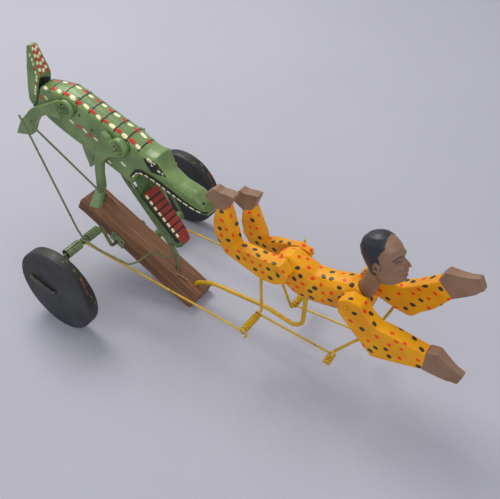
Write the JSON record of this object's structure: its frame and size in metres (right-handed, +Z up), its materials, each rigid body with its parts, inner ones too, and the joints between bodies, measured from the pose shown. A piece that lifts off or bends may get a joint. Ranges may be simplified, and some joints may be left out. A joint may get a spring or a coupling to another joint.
{
  "type": "pull-along automaton toy",
  "caption": "Wheeled plank whose bent-wire crank works rods that make a carved alligator stride and snap behind a carved swimmer on a wire post.",
  "frame": {"origin": "middle of the small worn flat under the plank's front end, on the floor", "axes": "+X forward from the gator to the swimmer and along the longest extent, +Y to the toy's left, +Z up"},
  "size_m": [0.4355, 0.1942, 0.2096],
  "materials": {
    "plank_wood": "worn brown stain",
    "wheel_wood": "worn black paint",
    "tin_green": "green paint on tin",
    "steel_wire": "dull bent wire",
    "brown_wire": "brown paint",
    "yellow_wire": "yellow paint",
    "green_wire": "green paint",
    "gator_green": "green paint with dots",
    "jaw_red": "red and green paint",
    "suit_yellow": "yellow paint with dots",
    "skin_brown": "matte brown paint"
  },
  "bodies": {
    "frame": {"plank": "plank_wood", "axle_strap_right": "tin_green", "axle_strap_left": "tin_green", "strap_nails": "steel_wire", "rear_staple": "brown_wire", "front_staple": "brown_wire", "gator_support_wire": "green_wire", "swimmer_post": "yellow_wire", "gator_body": "gator_green", "belly_staple": "steel_wire", "gator_hip_wire": "steel_wire", "gator_shoulder_wire": "steel_wire", "jaw_hinge_wire": "steel_wire", "tail_hinge_wire": "steel_wire", "swimmer_torso": "suit_yellow", "swimmer_head": "skin_brown", "swimmer_hip_wire": "steel_wire", "swimmer_shoulder_wire": "steel_wire"},
    "axle": {"crank_axle": "steel_wire", "wheel_right": "wheel_wood", "wheel_left": "wheel_wood", "crank_sleeve_right": "tin_green", "crank_sleeve_left": "tin_green"},
    "gator_rod_right": {"gator_drive_right": "green_wire", "gator_drive_coil_right": "green_wire"},
    "gator_rod_left": {"gator_drive_left": "green_wire", "gator_drive_coil_left": "green_wire"},
    "swimmer_rod_right": {"swimmer_drive_right": "yellow_wire"},
    "swimmer_rod_left": {"swimmer_drive_left": "yellow_wire"},
    "hind_leg_right": {"gator_hind_leg_right": "gator_green"},
    "hind_leg_left": {"gator_hind_leg_left": "gator_green"},
    "front_leg_right": {"gator_front_leg_right": "gator_green"},
    "front_leg_left": {"gator_front_leg_left": "gator_green"},
    "foot_link_right": {"gator_link_right": "steel_wire"},
    "foot_link_left": {"gator_link_left": "steel_wire"},
    "tail": {"gator_tail": "gator_green"},
    "jaw": {"gator_jaw": "jaw_red", "jaw_eye": "steel_wire"},
    "jaw_pull": {"jaw_rod": "green_wire"},
    "leg_right": {"swimmer_leg_right": "suit_yellow", "swimmer_leg_wire_right": "yellow_wire", "swimmer_leg_coil_right": "yellow_wire"},
    "leg_left": {"swimmer_leg_left": "suit_yellow", "swimmer_leg_wire_left": "yellow_wire", "swimmer_leg_coil_left": "yellow_wire"},
    "arm_right": {"swimmer_arm_right": "suit_yellow", "swimmer_arm_wire_right": "yellow_wire"},
    "arm_left": {"swimmer_arm_left": "suit_yellow", "swimmer_arm_wire_left": "yellow_wire"},
    "limb_link_right": {"swimmer_link_right": "yellow_wire", "swimmer_link_coil_right": "yellow_wire"},
    "limb_link_left": {"swimmer_link_left": "yellow_wire", "swimmer_link_coil_left": "yellow_wire"}
  },
  "joints": [
    {"name": "axle_turn", "type": "hinge", "parent": "frame", "child": "axle", "pos_m": [-0.08052, 0, 0.04], "axis": [0, 1, 0], "continuous": true},
    {"name": "gator_rod_right_turn", "type": "hinge", "parent": "axle", "child": "gator_rod_right", "pos_m": [-0.09077, -0.0427, 0.05775], "axis": [0, 1, 0], "continuous": true},
    {"name": "gator_rod_left_turn", "type": "hinge", "parent": "axle", "child": "gator_rod_left", "pos_m": [-0.07027, 0.0427, 0.02225], "axis": [0, 1, 0], "continuous": true},
    {"name": "swimmer_rod_right_turn", "type": "hinge", "parent": "axle", "child": "swimmer_rod_right", "pos_m": [-0.09077, -0.0452, 0.05775], "axis": [0, 1, 0], "continuous": true},
    {"name": "swimmer_rod_left_turn", "type": "hinge", "parent": "axle", "child": "swimmer_rod_left", "pos_m": [-0.07027, 0.051, 0.02225], "axis": [0, 1, 0], "continuous": true},
    {"name": "gator_stride", "type": "hinge", "parent": "frame", "child": "hind_leg_right", "pos_m": [-0.11752, -0.0154, 0.168], "axis": [0, -1, 0], "range_deg": [0, 47]},
    {"name": "hind_leg_left_swing", "type": "hinge", "parent": "frame", "child": "hind_leg_left", "pos_m": [-0.11752, 0.0154, 0.168], "axis": [0, -1, 0], "range_deg": [-47, 0]},
    {"name": "front_leg_right_swing", "type": "hinge", "parent": "frame", "child": "front_leg_right", "pos_m": [-0.06052, -0.0154, 0.152], "axis": [0, -1, 0], "range_deg": [0, 42.3]},
    {"name": "front_leg_left_swing", "type": "hinge", "parent": "frame", "child": "front_leg_left", "pos_m": [-0.06052, 0.0154, 0.152], "axis": [0, -1, 0], "range_deg": [-42.3, 0]},
    {"name": "foot_link_right_turn", "type": "hinge", "parent": "hind_leg_right", "child": "foot_link_right", "pos_m": [-0.16052, -0.0208, 0.144], "axis": [0, -1, 0], "range_deg": [-32.71, 0]},
    {"name": "foot_link_left_turn", "type": "hinge", "parent": "hind_leg_left", "child": "foot_link_left", "pos_m": [-0.12929, 0.0208, 0.12018], "axis": [0, -1, 0], "range_deg": [0, 32.71]},
    {"name": "tail_flap", "type": "hinge", "parent": "frame", "child": "tail", "pos_m": [-0.16102, 0, 0.157], "axis": [0, -1, 0], "range_deg": [-3, 10]},
    {"name": "jaw_snap", "type": "hinge", "parent": "frame", "child": "jaw", "pos_m": [-0.05552, 0, 0.121], "axis": [0, -1, 0], "range_deg": [0, 34]},
    {"name": "jaw_pull_turn", "type": "hinge", "parent": "jaw", "child": "jaw_pull", "pos_m": [-0.02002, -0.0045, 0.06], "axis": [0, -1, 0], "range_deg": [-34, 0]},
    {"name": "swimmer_stride", "type": "hinge", "parent": "frame", "child": "leg_right", "pos_m": [0.09848, -0.0178, 0.104], "axis": [0, -1, 0], "range_deg": [-11, 31]},
    {"name": "leg_left_swing", "type": "hinge", "parent": "frame", "child": "leg_left", "pos_m": [0.09848, 0.0178, 0.104], "axis": [0, -1, 0], "range_deg": [-22.32, 7.92]},
    {"name": "arm_right_swing", "type": "hinge", "parent": "frame", "child": "arm_right", "pos_m": [0.15848, -0.0178, 0.102], "axis": [0, -1, 0], "range_deg": [-11, 31]},
    {"name": "arm_left_swing", "type": "hinge", "parent": "frame", "child": "arm_left", "pos_m": [0.15848, 0.0178, 0.102], "axis": [0, -1, 0], "range_deg": [-24.8, 8.8]},
    {"name": "limb_link_right_turn", "type": "hinge", "parent": "leg_right", "child": "limb_link_right", "pos_m": [0.08298, -0.0225, 0.049], "axis": [0, -1, 0], "range_deg": [-31, 11]},
    {"name": "limb_link_left_turn", "type": "hinge", "parent": "leg_left", "child": "limb_link_left", "pos_m": [0.09098, 0.0225, 0.025], "axis": [0, -1, 0], "range_deg": [-7.92, 22.32]}
  ],
  "couplings": [
    {"joint": "gator_rod_right_turn", "follows": "axle_turn", "ratio": -1},
    {"joint": "gator_rod_left_turn", "follows": "axle_turn", "ratio": -1},
    {"joint": "swimmer_rod_right_turn", "follows": "axle_turn", "ratio": -1},
    {"joint": "swimmer_rod_left_turn", "follows": "axle_turn", "ratio": -1},
    {"joint": "hind_leg_left_swing", "follows": "gator_stride", "ratio": -1},
    {"joint": "front_leg_right_swing", "follows": "gator_stride", "ratio": 0.9},
    {"joint": "front_leg_left_swing", "follows": "gator_stride", "ratio": -0.9},
    {"joint": "foot_link_right_turn", "follows": "gator_stride", "ratio": -0.696},
    {"joint": "foot_link_left_turn", "follows": "gator_stride", "ratio": 0.696},
    {"joint": "jaw_pull_turn", "follows": "jaw_snap", "ratio": -1},
    {"joint": "leg_left_swing", "follows": "swimmer_stride", "ratio": -0.72},
    {"joint": "arm_right_swing", "follows": "swimmer_stride", "ratio": 1},
    {"joint": "arm_left_swing", "follows": "swimmer_stride", "ratio": -0.8},
    {"joint": "limb_link_right_turn", "follows": "swimmer_stride", "ratio": -1},
    {"joint": "limb_link_left_turn", "follows": "swimmer_stride", "ratio": 0.72}
  ]
}
